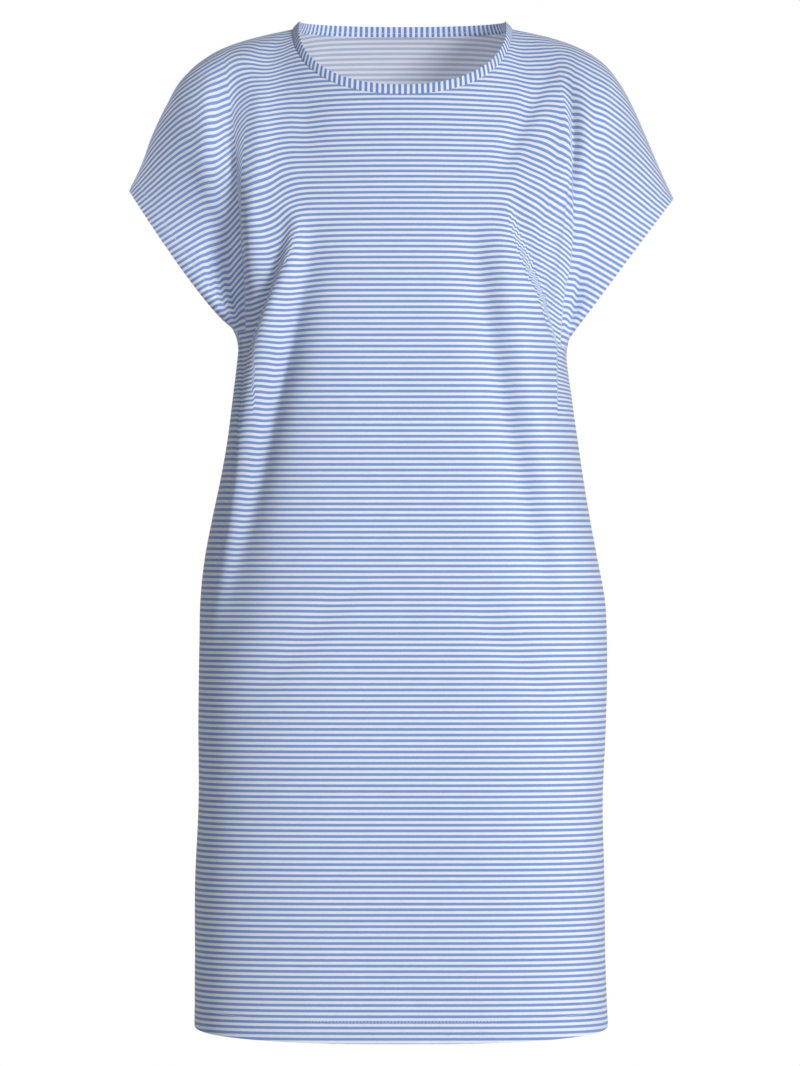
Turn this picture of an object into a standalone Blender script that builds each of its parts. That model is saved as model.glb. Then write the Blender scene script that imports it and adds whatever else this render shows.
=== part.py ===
"""A short-sleeved, pull-on nightshirt in jersey, filled out as it hangs when worn.

Metres, +Z up, the front facing -Y and the wearer's right side at -X.
The origin lies midway between the two shoulder points of the neck, where a wearer holds the garment up.
"""

import math
from collections import namedtuple

import bpy
import numpy as np

# Driving dimensions, in metres
CLOTH_WALL = 0.0016
BAND_WALL = 0.0020
SEAM_GAP = 0.0003
HEM_HEIGHT = -0.9226
HEM_RISE = 0.012
HEM_CURVE = 4.2
NECK_HALF_WIDTH = 0.1007
NECK_POINT_HEIGHT = 0.0037
FRONT_NECK_DEPTH = 0.082
FRONT_NECK_DROP = 0.0635
FRONT_NECK_FULLNESS = 0.7
BACK_NECK_DEPTH = 0.079
BACK_NECK_DROP = 0.0030
BACK_NECK_FULLNESS = 0.8
BAND_WIDTH = 0.0094

# Grid of each panel
SLEEVE_COLUMNS = 13
NECK_COLUMNS = 14
BODY_ROWS = 14
CHEST_ROWS = 14

# Left and right are as seen from the front: left is the wearer's right side, at -X.
# Body rings from the hem to the underarm: half-widths to each side, depths before and behind
Section = namedtuple("Section", "height left right front back")
SECTIONS = (
    Section(-0.923, 0.1905, 0.1885, 0.138, 0.130),
    Section(-0.853, 0.1900, 0.1857, 0.139, 0.130),
    Section(-0.779, 0.1898, 0.1848, 0.140, 0.129),
    Section(-0.706, 0.1866, 0.1832, 0.141, 0.128),
    Section(-0.632, 0.1868, 0.1862, 0.142, 0.128),
    Section(-0.558, 0.1858, 0.1870, 0.143, 0.126),
    Section(-0.522, 0.1850, 0.1852, 0.144, 0.124),
    Section(-0.485, 0.1812, 0.1785, 0.144, 0.121),
    Section(-0.448, 0.1743, 0.1716, 0.144, 0.118),
    Section(-0.411, 0.1665, 0.1655, 0.144, 0.115),
    Section(-0.374, 0.1600, 0.1600, 0.144, 0.113),
    Section(-0.338, 0.1555, 0.1550, 0.143, 0.113),
    Section(-0.301, 0.1510, 0.1500, 0.142, 0.114),
    Section(-0.265, 0.1475, 0.1475, 0.140, 0.116),
)
RING_EXPONENT = 3.6
NECK_EXPONENT = 2.25

# Side seams, as turns from the middle of the front, in degrees
Seam = namedtuple("Seam", "height left right")
SEAMS = (
    Seam(-0.923, 90.0, 90.0),
    Seam(-0.660, 90.0, 90.0),
    Seam(-0.610, 79.0, 90.0),
    Seam(-0.560, 67.0, 90.0),
    Seam(-0.500, 60.5, 85.0),
    Seam(-0.430, 59.0, 79.0),
    Seam(-0.370, 60.0, 70.0),
    Seam(-0.320, 66.0, 68.0),
    Seam(-0.265, 78.0, 80.0),
)
NECK_TURN = 40.0

# Shoulder and overarm seam, from the neck point out to the sleeve's tip
Shoulder = namedtuple("Shoulder", "height left right")
SHOULDERS = (
    Shoulder(0.0037, 0.1007, 0.1007),
    Shoulder(-0.0040, 0.1340, 0.1345),
    Shoulder(-0.0120, 0.1587, 0.1578),
    Shoulder(-0.0230, 0.1789, 0.1770),
    Shoulder(-0.0386, 0.1973, 0.1927),
    Shoulder(-0.0662, 0.2157, 0.2111),
    Shoulder(-0.0938, 0.2295, 0.2249),
    Shoulder(-0.1214, 0.2397, 0.2375),
    Shoulder(-0.1454, 0.2511, 0.2490),
)

# Sleeve openings: tip, underarm point, depths before and behind, and sag of the lower front edge
Cuff = namedtuple("Cuff", "tip_drop underarm_height front back sag")
CUFFS = {
    "left": Cuff(0.0000, -0.2726, 0.050, 0.052, 0.060),
    "right": Cuff(0.0073, -0.2870, 0.050, 0.052, 0.000),
}
ROW_DIP = 0.030
ROW_DIP_TURN = 22.0

# How a column of cloth runs over the chest and shoulder: its pulls at the two ends, as shares of
# its straight length, and the ways in which it arrives, as inward, towards the shoulder line and up
RISE_PULL = 1.0
CHEST_PULL = 1.0
ROLL_PULL = 1.25
CHEST_ARRIVAL = (0.0, 0.40, 0.92)
NAPE_ARRIVAL = (0.0, 0.45, 0.89)
ROLL_ARRIVAL = (0.0, 1.0, 0.0)
NECK_POINT_ARRIVAL = (0.65, 0.65, 0.30)
NECK_TURNING = 0.7
CUFF_HOLD = 0.45

# The way in which the neckband stands, inward, towards the shoulder line and up
BAND_AT_FRONT = (0.0, 0.40, 0.92)
BAND_AT_NAPE = (0.0, 0.22, 0.89)
BAND_AT_NECK_POINT = (0.69, 0.0, 0.72)

# Folds: height, distance from the middle, depth (ridges are negative), reach inwards and outwards
Crease = namedtuple("Crease", "height across depth inward outward")
FOLDS = {
    ("front", "left"): (
        (
            Crease(-0.030, 0.153, 0.000, 0.011, 0.015),
            Crease(-0.070, 0.154, 0.006, 0.011, 0.015),
            Crease(-0.130, 0.158, 0.010, 0.011, 0.015),
            Crease(-0.190, 0.157, 0.010, 0.011, 0.014),
            Crease(-0.240, 0.152, 0.007, 0.010, 0.012),
            Crease(-0.275, 0.146, 0.000, 0.010, 0.012),
        ),
        (
            Crease(-0.160, 0.096, 0.000, 0.014, 0.014),
            Crease(-0.200, 0.094, -0.006, 0.014, 0.014),
            Crease(-0.270, 0.121, -0.010, 0.014, 0.014),
            Crease(-0.350, 0.139, -0.009, 0.014, 0.014),
            Crease(-0.430, 0.154, -0.007, 0.016, 0.014),
            Crease(-0.500, 0.166, -0.004, 0.018, 0.014),
            Crease(-0.560, 0.174, 0.000, 0.018, 0.014),
        ),
        (
            Crease(-0.165, 0.082, 0.000, 0.018, 0.014),
            Crease(-0.210, 0.086, 0.006, 0.018, 0.014),
            Crease(-0.270, 0.101, 0.010, 0.018, 0.014),
            Crease(-0.350, 0.121, 0.009, 0.018, 0.014),
            Crease(-0.450, 0.142, 0.007, 0.020, 0.014),
            Crease(-0.540, 0.160, 0.004, 0.022, 0.014),
            Crease(-0.610, 0.174, 0.000, 0.022, 0.014),
        ),
    ),
    ("front", "right"): (
        (
            Crease(-0.045, 0.150, 0.000, 0.014, 0.012),
            Crease(-0.090, 0.152, 0.005, 0.014, 0.012),
            Crease(-0.150, 0.155, 0.007, 0.013, 0.012),
            Crease(-0.200, 0.153, 0.008, 0.013, 0.012),
            Crease(-0.250, 0.147, 0.006, 0.012, 0.012),
            Crease(-0.280, 0.143, 0.000, 0.012, 0.012),
        ),
        (
            Crease(-0.170, 0.062, 0.000, 0.020, 0.016),
            Crease(-0.220, 0.068, 0.004, 0.020, 0.016),
            Crease(-0.300, 0.083, 0.006, 0.020, 0.016),
            Crease(-0.400, 0.104, 0.006, 0.020, 0.016),
            Crease(-0.480, 0.122, 0.004, 0.020, 0.016),
            Crease(-0.560, 0.140, 0.000, 0.020, 0.016),
        ),
        (
            Crease(-0.170, 0.088, 0.000, 0.014, 0.018),
            Crease(-0.220, 0.094, -0.005, 0.014, 0.018),
            Crease(-0.300, 0.108, -0.006, 0.014, 0.018),
            Crease(-0.400, 0.129, -0.006, 0.014, 0.018),
            Crease(-0.480, 0.147, -0.004, 0.014, 0.018),
            Crease(-0.560, 0.163, 0.000, 0.014, 0.018),
        ),
    ),
    ("back", "left"): (
        (
            Crease(-0.045, 0.150, 0.000, 0.014, 0.014),
            Crease(-0.100, 0.150, 0.006, 0.014, 0.014),
            Crease(-0.180, 0.150, 0.009, 0.014, 0.014),
            Crease(-0.240, 0.146, 0.006, 0.013, 0.013),
            Crease(-0.275, 0.142, 0.000, 0.013, 0.013),
        ),
        (
            Crease(-0.170, 0.098, 0.000, 0.018, 0.016),
            Crease(-0.250, 0.108, 0.006, 0.018, 0.016),
            Crease(-0.350, 0.120, 0.007, 0.018, 0.016),
            Crease(-0.460, 0.134, 0.005, 0.020, 0.018),
            Crease(-0.570, 0.148, 0.000, 0.022, 0.018),
        ),
    ),
    ("back", "right"): (
        (
            Crease(-0.045, 0.152, 0.000, 0.014, 0.014),
            Crease(-0.100, 0.153, 0.006, 0.014, 0.014),
            Crease(-0.185, 0.152, 0.008, 0.014, 0.014),
            Crease(-0.250, 0.147, 0.006, 0.013, 0.013),
            Crease(-0.285, 0.143, 0.000, 0.013, 0.013),
        ),
        (
            Crease(-0.180, 0.090, 0.000, 0.020, 0.016),
            Crease(-0.270, 0.102, 0.006, 0.020, 0.016),
            Crease(-0.380, 0.118, 0.006, 0.020, 0.016),
            Crease(-0.490, 0.136, 0.004, 0.020, 0.018),
            Crease(-0.600, 0.152, 0.000, 0.022, 0.018),
        ),
    ),
}
# Shares of a panel's width and height over which its folds die away at a seam
SEAM_CALM = 0.10
UNDERARM_CALM = 0.30
TOP_CALM = 0.20

SIDES = {"front": ("left", "right"), "back": ("right", "left")}
OUTWARD = {"left": -1.0, "right": 1.0}
FINE = 60
MICRONS = 1e6
SHARP_EDGE = 50.0
STRIPED_JERSEY = (0.47, 0.56, 0.78)
BAND_JERSEY = (0.42, 0.52, 0.78)
JERSEY_ROUGHNESS = 0.85


def through(rows, column, heights):
    """A smooth curve through one column of a table, read at the given heights."""
    table = sorted((row.height, getattr(row, column)) for row in rows)
    known = np.array([height for height, _ in table])
    values = np.array([value for _, value in table])
    slopes = np.gradient(values, known)
    at = np.clip(heights, known[0], known[-1])
    cell = np.clip(np.searchsorted(known, at) - 1, 0, len(known) - 2)
    span = known[cell + 1] - known[cell]
    part = (at - known[cell]) / span
    return hermite(
        values[cell], slopes[cell] * span, values[cell + 1], slopes[cell + 1] * span, part
    )


def hermite(start, start_pull, end, end_pull, part):
    """A cubic from start to end that leaves and arrives along the two pulls."""
    squared = part * part
    cubed = squared * part
    return (
        (2 * cubed - 3 * squared + 1) * start
        + (cubed - 2 * squared + part) * start_pull
        + (3 * squared - 2 * cubed) * end
        + (cubed - squared) * end_pull
    )


def ease(part):
    part = np.clip(part, 0.0, 1.0)
    return part * part * (3 - 2 * part)


def unit(vectors):
    return vectors / np.linalg.norm(vectors, axis=-1, keepdims=True)


def ring(turn, heights):
    """Points of the body's outline at each turn, in radians from the middle of the front."""
    across = np.sin(turn)
    ahead = np.cos(turn)
    width = np.where(
        across < 0, through(SECTIONS, "left", heights), through(SECTIONS, "right", heights)
    )
    depth = np.where(
        ahead > 0, through(SECTIONS, "front", heights), through(SECTIONS, "back", heights)
    )
    power = RING_EXPONENT
    reach = (np.abs(across / width) ** power + np.abs(ahead / depth) ** power) ** (-1 / power)
    return np.stack([reach * across, -reach * ahead, heights], axis=-1)


def seam_turn(side, heights):
    return OUTWARD[side] * np.radians(through(SEAMS, side, heights))


def column_turns(face, heights):
    """The turn of each column of a panel, for rows of heights with one for each column."""
    start, end = SIDES[face]
    near = math.radians(NECK_TURN)
    centre = 0.0 if face == "front" else math.pi
    share = np.linspace(0, 1, SLEEVE_COLUMNS + 1)
    first = seam_turn(start, heights[:, :SLEEVE_COLUMNS])
    last = seam_turn(end, heights[:, -SLEEVE_COLUMNS:]) + 2 * centre
    before = first + (centre - near - first) * share[:-1]
    after = centre + near + (last - centre - near) * share[1:]
    middle = np.linspace(centre - near, centre + near, NECK_COLUMNS + 1)
    return np.concatenate([before, np.tile(middle, (len(heights), 1)), after], axis=1)


def underarm_heights(face):
    """Heights of the row that ends at the two underarm points and dips between them."""
    start, end = (CUFFS[side].underarm_height for side in SIDES[face])
    columns = 2 * SLEEVE_COLUMNS + NECK_COLUMNS
    place = np.linspace(0, 1, columns + 1)
    from_seam = np.minimum(np.arange(columns + 1), np.arange(columns, -1, -1)) / SLEEVE_COLUMNS
    spread = math.radians(90 - NECK_TURN) / math.radians(ROW_DIP_TURN)
    return start + (end - start) * place - ROW_DIP * ease(from_seam * spread)


def hem_heights(face):
    """Heights of the hem, which curves up towards the side seams."""
    level = np.full((1, 2 * SLEEVE_COLUMNS + NECK_COLUMNS + 1), HEM_HEIGHT)
    return level + HEM_RISE * np.abs(np.sin(column_turns(face, level))) ** HEM_CURVE


def body_rows(face):
    """Rows from the hem to the underarm row."""
    hem = hem_heights(face)
    levels = np.linspace(0, 1, BODY_ROWS + 1)[:, None]
    heights = hem + (underarm_heights(face) - hem) * levels
    return ring(column_turns(face, heights), heights)


def evenly(points, count):
    """The same polyline with count equal steps along it."""
    steps = np.linalg.norm(np.diff(points, axis=0), axis=1)
    run = np.concatenate([[0], np.cumsum(steps)])
    at = np.linspace(0, run[-1], count + 1)
    return np.stack([np.interp(at, run, points[:, axis]) for axis in range(3)], axis=-1)


def shoulder_line(side):
    """From the sleeve's tip up to the neck point."""
    drop = CUFFS[side].tip_drop
    lowest = SHOULDERS[-1].height
    heights = np.linspace(lowest, NECK_POINT_HEIGHT, FINE)
    across = OUTWARD[side] * through(SHOULDERS, side, heights)
    lowered = heights - drop * ease((NECK_POINT_HEIGHT - heights) / (NECK_POINT_HEIGHT - lowest))
    return evenly(np.stack([across, np.zeros(FINE), lowered], axis=-1), SLEEVE_COLUMNS)


def neck_share(face, points):
    """0 at the neck points and 1 at the middle of the front or back."""
    depth = FRONT_NECK_DEPTH if face == "front" else BACK_NECK_DEPTH
    return np.clip(np.abs(points[..., 1]) / depth, 0, 1)


def neckline(face):
    """The panel's neck edge, from its starting side to its ending side."""
    angle = np.linspace(-math.pi / 2, math.pi / 2, 4 * FINE + 1)
    power = 2 / NECK_EXPONENT
    fall = np.cos(angle).clip(0) ** power
    across = NECK_HALF_WIDTH * np.sign(angle) * np.abs(np.sin(angle)) ** power
    if face == "front":
        y = -FRONT_NECK_DEPTH * fall**FRONT_NECK_FULLNESS
        z = NECK_POINT_HEIGHT - FRONT_NECK_DROP * fall
    else:
        across = -across
        y = BACK_NECK_DEPTH * fall**BACK_NECK_FULLNESS
        z = NECK_POINT_HEIGHT - BACK_NECK_DROP * fall
    return evenly(np.stack([across, y, z], axis=-1), NECK_COLUMNS)


def top_edge(face):
    start, end = SIDES[face]
    first = shoulder_line(start)
    last = shoulder_line(end)[::-1]
    return np.concatenate([first[:-1], neckline(face), last[1:]])


def from_ends(count):
    """0 at the first and last of the columns, 1 at the neck points, and more between them."""
    column = np.arange(count)
    return np.minimum(column, count - 1 - column) / SLEEVE_COLUMNS


def aim(direction, face, x):
    """A direction given as inward, towards the shoulder line and up, for points at x."""
    towards = 1.0 if face == "front" else -1.0
    inward = np.where(np.asarray(x) < 0, 1.0, -1.0)
    flat = np.zeros_like(inward)
    return np.stack([inward * direction[0], flat + towards * direction[1], flat + direction[2]], axis=-1)


def arrivals(face, top, span):
    """How each column pulls as it reaches the neck or rolls over the shoulder."""
    away = from_ends(len(top))
    x = top[:, 0]
    at_neck = np.where(away >= 1, neck_share(face, top) ** NECK_TURNING, 0.0)[:, None]
    near_neck = (np.minimum(away, 1) ** 2)[:, None]
    chest = aim(CHEST_ARRIVAL if face == "front" else NAPE_ARRIVAL, face, x)
    shoulder = (1 - near_neck) * aim(ROLL_ARRIVAL, face, x) + near_neck * aim(NECK_POINT_ARRIVAL, face, x)
    way = unit(at_neck * chest + (1 - at_neck) * shoulder)
    return way * span * (CHEST_PULL * at_neck + ROLL_PULL * (1 - at_neck))


def cuff_pulls(face, side, chord):
    """The two pulls that make half a sleeve opening into half an oval, with its lower edge sagging."""
    cuff = CUFFS[side]
    forward = -1.0 if face == "front" else 1.0
    depth = cuff.front if face == "front" else cuff.back
    below = unit(np.array([OUTWARD[side] * chord[2], 0, -abs(chord[0])]))
    bulge = forward * np.array([0, 4 * depth, 0])
    return bulge + below * cuff.sag, -bulge


def chest_rows(face, bottom, slope):
    """Rows from the underarm row to the shoulders and neck, without the underarm row."""
    top = top_edge(face)
    chords = top - bottom
    span = np.linalg.norm(chords, axis=1, keepdims=True)
    leave = slope * span * RISE_PULL
    arrive = arrivals(face, top, span)
    held = ease(1 - from_ends(len(top)) / CUFF_HOLD)
    first_half = np.arange(len(top)) < len(top) / 2
    for side, end, half in zip(SIDES[face], (0, -1), (first_half, ~first_half)):
        cuff_leave, cuff_arrive = cuff_pulls(face, side, chords[end])
        hold = (held * half)[:, None]
        leave = leave * (1 - hold) + cuff_leave * hold
        arrive = arrive * (1 - hold) + cuff_arrive * hold
    parts = np.linspace(0, 1, CHEST_ROWS + 1)[1:]
    return np.array([hermite(bottom, leave, top, arrive, part) for part in parts])


def is_ring(grid):
    return np.allclose(grid[:, 0], grid[:, -1])


def along_rows(grid):
    """The direction of the rows at each point, carried round where the grid is a ring."""
    if is_ring(grid):
        grid = np.concatenate([grid[:, -2:-1], grid, grid[:, 1:2]], axis=1)
        return np.gradient(grid, axis=1)[:, 1:-1]
    return np.gradient(grid, axis=1)


def face_normals(grid):
    """Outward normals of a grid whose columns run anticlockwise seen from above."""
    return unit(np.cross(along_rows(grid), np.gradient(grid, axis=0)))


def crease_depth(creases, heights, across):
    """How far one fold pulls each point in."""
    depth = through(creases, "depth", heights)
    off = across - through(creases, "across", heights)
    reach = np.where(off < 0, through(creases, "inward", heights), through(creases, "outward", heights))
    lowest, highest = creases[-1].height, creases[0].height
    inside = (heights > lowest) & (heights < highest)
    return np.where(inside, depth * np.exp(-((off / reach) ** 2)), 0.0)


def calm(rows, columns):
    """1 where folds keep their depth, and 0 along the seams, where the pieces have to meet."""
    edge = (from_ends(columns) * SLEEVE_COLUMNS / (columns - 1) / SEAM_CALM)[None, :]
    rise = ((np.arange(rows) - BODY_ROWS) / CHEST_ROWS)[:, None]
    sides = np.where(rise > 0, ease(np.maximum(edge, rise / UNDERARM_CALM)), ease(edge))
    return sides * ease((1 - rise) / TOP_CALM)


def folded(face, points):
    """The panel with its folds."""
    pull = np.zeros(points.shape[:2])
    for side in SIDES[face]:
        across = OUTWARD[side] * points[..., 0]
        for creases in FOLDS[face, side]:
            pull += np.where(across > 0, crease_depth(creases, points[..., 2], across), 0.0)
    return points - face_normals(points) * (pull * calm(*pull.shape))[..., None]


def panel(face):
    body = body_rows(face)
    slope = unit(body[-1] - body[-2])
    return folded(face, np.concatenate([body, chest_rows(face, body[-1], slope)]))


def band_grid(front, back):
    """The neckband, round from the left neck point: front neck edge first, then the back."""
    neck = slice(SLEEVE_COLUMNS, SLEEVE_COLUMNS + NECK_COLUMNS)
    stands = []
    for face, panel_grid, middle in (("front", front, BAND_AT_FRONT), ("back", back, BAND_AT_NAPE)):
        edge = panel_grid[-1, neck]
        share = neck_share(face, edge)[:, None]
        sideways = aim(BAND_AT_NECK_POINT, face, edge[:, 0])
        stands.append(share * aim(middle, face, edge[:, 0]) + (1 - share) * sideways)
    edge = np.concatenate([front[-1, neck], back[-1, neck]])
    stand = unit(np.concatenate(stands)) * BAND_WIDTH
    grid = np.stack([edge, edge + stand / 2, edge + stand])
    return np.concatenate([grid, grid[:, :1]], axis=1)


def shared_normals(grids):
    """Normals that agree wherever two pieces meet."""
    totals = {}
    keys = [np.rint(grid * MICRONS).astype(int) for grid in grids]
    for grid, places in zip(grids, keys):
        normals = face_normals(grid)
        if is_ring(grid):
            places, normals = places[:, :-1], normals[:, :-1]
        for place, normal in zip(places.reshape(-1, 3), normals.reshape(-1, 3)):
            totals[tuple(place)] = totals.get(tuple(place), 0) + normal
    return [
        unit(np.array([totals[tuple(place)] for place in places.reshape(-1, 3)])).reshape(places.shape)
        for places in keys
    ]


def step_back(edge, neighbour, normals):
    """The edge moved square to itself, half a seam gap towards the row or column beside it."""
    sideways = unit(np.cross(normals, along_rows(edge[None])[0]))
    towards = np.sign(np.sum(sideways * (neighbour - edge), axis=1, keepdims=True))
    return edge + sideways * towards * SEAM_GAP / 2


def rim(loop, count, reach):
    """Faces that close the cloth's edge, from the outer points of a loop to the inner ones."""
    quads = [(a, count + a, count + b, b) for a, b in zip(loop, loop[1:])]
    return [quad if reach[quad[0]] >= reach[quad[3]] else quad[3:] + quad[:3] for quad in quads]


def wall(name, grid, normals, thickness):
    """A closed cloth wall round a grid of middle points; a grid that ends where it began is a ring."""
    ringed = is_ring(grid)
    if ringed:
        grid, normals = grid[:, :-1], normals[:, :-1]
    rows, columns = grid.shape[:2]
    outer = grid + normals * thickness / 2
    inner = grid - normals * thickness / 2
    count = rows * columns
    index = np.arange(count).reshape(rows, columns)
    if ringed:
        index = np.concatenate([index, index[:, :1]], axis=1)
    corners = np.stack([index[:-1, :-1], index[:-1, 1:], index[1:, 1:], index[1:, :-1]], axis=-1)
    # A face is split from corner 0 to corner 2: each half mirrors the other, and a rim its neighbour's
    reach = np.abs(grid[..., 0]).ravel()
    turned = (reach[corners[..., 1]] > reach[corners[..., 0]])[..., None]
    corners = np.where(turned, np.roll(corners, -1, axis=-1), corners)
    outside = corners.reshape(-1, 4).tolist()
    inside = (corners[..., [0, 3, 2, 1]].reshape(-1, 4) + count).tolist()
    edges = [index[0], index[-1, ::-1]]
    if not ringed:
        edges += [index[::-1, 0], index[:, -1]]
    faces = outside + inside
    for edge in edges:
        faces += rim(edge.tolist(), count, reach)
    points = np.concatenate([outer.reshape(-1, 3), inner.reshape(-1, 3)])
    mesh = bpy.data.meshes.new(name)
    mesh.from_pydata(points.tolist(), [], faces)
    mesh.shade_smooth()
    mesh.set_sharp_from_angle(angle=math.radians(SHARP_EDGE))
    piece = bpy.data.objects.new(name, mesh)
    bpy.context.scene.collection.objects.link(piece)
    return piece


def jersey(name, colour):
    material = bpy.data.materials.new(name)
    material.use_nodes = True
    shader = material.node_tree.nodes["Principled BSDF"]
    shader.inputs["Base Color"].default_value = (*colour, 1.0)
    shader.inputs["Roughness"].default_value = JERSEY_ROUGHNESS
    shader.inputs["Metallic"].default_value = 0.0
    return material


def part_seams(front, back, band, normals):
    """Moves the pieces apart along the side, shoulder and neck seams."""
    sewn = slice(0, BODY_ROWS + 1)
    for grid, normal in zip((front, back), normals):
        grid[sewn, 0] = step_back(grid[sewn, 0], grid[sewn, 1], normal[sewn, 0])
        grid[sewn, -1] = step_back(grid[sewn, -1], grid[sewn, -2], normal[sewn, -1])
        grid[-1] = step_back(grid[-1], grid[-2], normal[-1])
    band[0] = step_back(band[0], band[1], normals[-1][0])


def build():
    for obj in list(bpy.data.objects):
        bpy.data.objects.remove(obj)
    front, back = panel("front"), panel("back")
    band = band_grid(front, back)
    normals = shared_normals([front, back, band])
    part_seams(front, back, band, normals)
    pieces = (
        ("front", front, normals[0], CLOTH_WALL, STRIPED_JERSEY),
        ("back", back, normals[1], CLOTH_WALL, STRIPED_JERSEY),
        ("neckband", band, normals[2], BAND_WALL, BAND_JERSEY),
    )
    for name, grid, normal, thickness, colour in pieces:
        piece = wall(name, grid, normal, thickness)
        piece.data.materials.append(jersey(name + "_jersey", colour))


build()
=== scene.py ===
"""A short-sleeved, pull-on nightshirt in striped jersey, filled out as it hangs when worn."""

import math
from collections import namedtuple

import bpy
import numpy as np
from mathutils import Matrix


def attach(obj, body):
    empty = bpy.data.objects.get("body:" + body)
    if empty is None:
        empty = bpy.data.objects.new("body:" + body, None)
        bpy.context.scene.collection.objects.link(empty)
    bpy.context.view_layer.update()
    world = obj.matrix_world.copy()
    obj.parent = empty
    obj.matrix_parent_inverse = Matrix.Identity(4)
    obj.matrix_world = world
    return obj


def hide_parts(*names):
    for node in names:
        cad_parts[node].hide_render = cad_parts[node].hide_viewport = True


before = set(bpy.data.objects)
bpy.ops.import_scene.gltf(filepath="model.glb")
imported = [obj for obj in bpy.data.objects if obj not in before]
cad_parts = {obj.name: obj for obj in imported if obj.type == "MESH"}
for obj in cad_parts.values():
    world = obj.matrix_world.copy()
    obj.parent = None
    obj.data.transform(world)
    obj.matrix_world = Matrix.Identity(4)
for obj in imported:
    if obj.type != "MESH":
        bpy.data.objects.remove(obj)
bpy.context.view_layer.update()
bpy.ops.object.select_all(action="DESELECT")


# Front. The real piece is one panel of fine cotton jersey from the shoulders to the hem, cut in one with the
# front halves of both short sleeves, and sewn to the back along the sides and shoulders. Filled out as when
# worn, it is an oval from the bust down, with long soft folds from the underarms to the hips.
JERSEY_THICKNESS = 0.0012
HEM_HEIGHT = -0.9226
HEM_RISE = 0.012
HEM_CURVE = 4.2
NECK_HALF_WIDTH = 0.1007
NECK_POINT_HEIGHT = 0.0037
Neck = namedtuple("Neck", "depth drop fullness")
NECKS = {"front": Neck(0.082, 0.0635, 0.7), "back": Neck(0.079, 0.0030, 0.8)}

# Grid of a panel: columns of a sleeve and of the neck, rows of the body and of the chest, and how
# they crowd together towards the seams, the hem and the shoulders
SLEEVE_STEPS = 56
NECK_STEPS = 60
BODY_STEPS = 120
CHEST_STEPS = 90
NECK_SPAN = 14 / 13
SEAM_CROWDING = 1.35
HEM_CROWDING = 1.15
SHOULDER_CROWDING = 1.3

# Left and right are as seen from the front: left is the wearer's right side, at -X.
# Body rings from the hem to the underarm: half-widths to each side, depths before and behind
Section = namedtuple("Section", "height left right front back")
SECTIONS = (
    Section(-0.923, 0.1905, 0.1885, 0.138, 0.130),
    Section(-0.853, 0.1900, 0.1857, 0.139, 0.130),
    Section(-0.779, 0.1898, 0.1848, 0.140, 0.129),
    Section(-0.706, 0.1866, 0.1832, 0.141, 0.128),
    Section(-0.632, 0.1868, 0.1862, 0.142, 0.128),
    Section(-0.558, 0.1858, 0.1870, 0.143, 0.126),
    Section(-0.522, 0.1850, 0.1852, 0.144, 0.124),
    Section(-0.485, 0.1812, 0.1785, 0.144, 0.121),
    Section(-0.448, 0.1743, 0.1716, 0.144, 0.118),
    Section(-0.411, 0.1665, 0.1655, 0.144, 0.115),
    Section(-0.374, 0.1600, 0.1600, 0.144, 0.113),
    Section(-0.338, 0.1555, 0.1550, 0.143, 0.113),
    Section(-0.301, 0.1510, 0.1500, 0.142, 0.114),
    Section(-0.265, 0.1475, 0.1475, 0.140, 0.116),
)
RING_EXPONENT = 3.6
NECK_EXPONENT = 2.25

# Side seams, as turns from the middle of the front, in degrees
Seam = namedtuple("Seam", "height left right")
SEAMS = (
    Seam(-0.923, 90.0, 90.0),
    Seam(-0.660, 90.0, 90.0),
    Seam(-0.610, 79.0, 90.0),
    Seam(-0.560, 67.0, 90.0),
    Seam(-0.500, 60.5, 85.0),
    Seam(-0.430, 59.0, 79.0),
    Seam(-0.370, 60.0, 70.0),
    Seam(-0.320, 66.0, 68.0),
    Seam(-0.265, 78.0, 80.0),
)
NECK_TURN = 40.0

# Shoulder and overarm seam, from the neck point out to the sleeve's tip
Shoulder = namedtuple("Shoulder", "height left right")
SHOULDERS = (
    Shoulder(0.0037, 0.1007, 0.1007),
    Shoulder(-0.0040, 0.1340, 0.1345),
    Shoulder(-0.0120, 0.1587, 0.1578),
    Shoulder(-0.0230, 0.1789, 0.1770),
    Shoulder(-0.0386, 0.1973, 0.1927),
    Shoulder(-0.0662, 0.2157, 0.2111),
    Shoulder(-0.0938, 0.2295, 0.2249),
    Shoulder(-0.1214, 0.2397, 0.2375),
    Shoulder(-0.1454, 0.2511, 0.2490),
)

# Sleeve openings: tip, underarm point, depths before and behind, and sag of the lower front edge
Cuff = namedtuple("Cuff", "tip_drop underarm_height front back sag")
CUFFS = {
    "left": Cuff(0.0000, -0.2726, 0.050, 0.052, 0.060),
    "right": Cuff(0.0073, -0.2870, 0.050, 0.052, 0.000),
}
ROW_DIP = 0.030
ROW_DIP_TURN = 22.0

# How a column of cloth runs over the chest and shoulder: its pulls at the two ends, as shares of
# its straight length, and the ways in which it arrives, as inward, towards the shoulder line and up
RISE_PULL = 1.0
CHEST_PULL = 1.0
ROLL_PULL = 1.25
CHEST_ARRIVAL = (0.0, 0.40, 0.92)
NAPE_ARRIVAL = (0.0, 0.45, 0.89)
ROLL_ARRIVAL = (0.0, 1.0, 0.0)
NECK_POINT_ARRIVAL = (0.65, 0.65, 0.30)
NECK_TURNING = 0.7
CUFF_HOLD = 0.45
PULL_PER_DEPTH = 4

# The way in which the neckband stands, inward, towards the shoulder line and up
BAND_AT_FRONT = (0.0, 0.40, 0.92)
BAND_AT_NAPE = (0.0, 0.22, 0.89)
BAND_AT_NECK_POINT = (0.69, 0.0, 0.72)

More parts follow.
